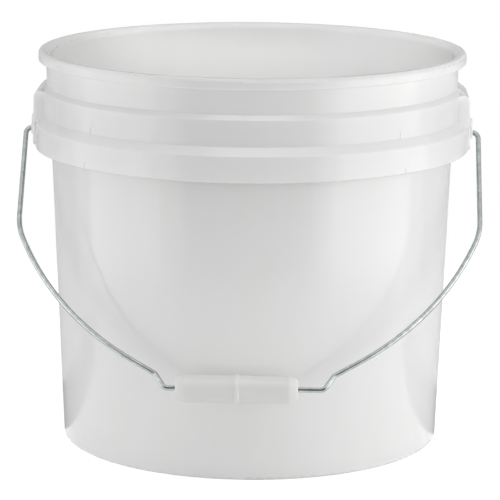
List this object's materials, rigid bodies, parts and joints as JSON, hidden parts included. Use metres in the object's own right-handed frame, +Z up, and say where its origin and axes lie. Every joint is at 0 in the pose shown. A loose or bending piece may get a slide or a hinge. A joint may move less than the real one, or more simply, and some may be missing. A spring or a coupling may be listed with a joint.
{
  "type": "plastic pail",
  "caption": "Round tapered open pail with a rolled rim, stepped bands, moulded ears and a swinging wire bail that carries a turning tube grip.",
  "frame": {"origin": "centre of the standing ring's face, on the pail's axis", "axes": "+Z up along the pail's axis, +X and -X through the two ears, the bail rests on the -Y side"},
  "size_m": [0.324, 0.3094, 0.2779],
  "materials": {
    "white_polyethylene": "injection moulded white polyethylene with a soft sheen",
    "galvanised_wire": "drawn and galvanised, dull grey",
    "white_grip_polyethylene": "blown white polyethylene tube with a soft sheen"
  },
  "bodies": {
    "pail": {"pail_body": "white_polyethylene"},
    "bail": {"bail_wire": "galvanised_wire"},
    "handle": {"grip": "white_grip_polyethylene"}
  },
  "joints": [
    {"name": "bail_swing", "type": "hinge", "parent": "pail", "child": "bail", "pos_m": [0, 0, 0.22], "axis": [-1, 0, 0], "range_deg": [0, 272.35]},
    {"name": "grip_turn", "type": "hinge", "parent": "bail", "child": "handle", "pos_m": [0, -0.14639, 0.06749], "axis": [1, 0, 0], "continuous": true}
  ]
}
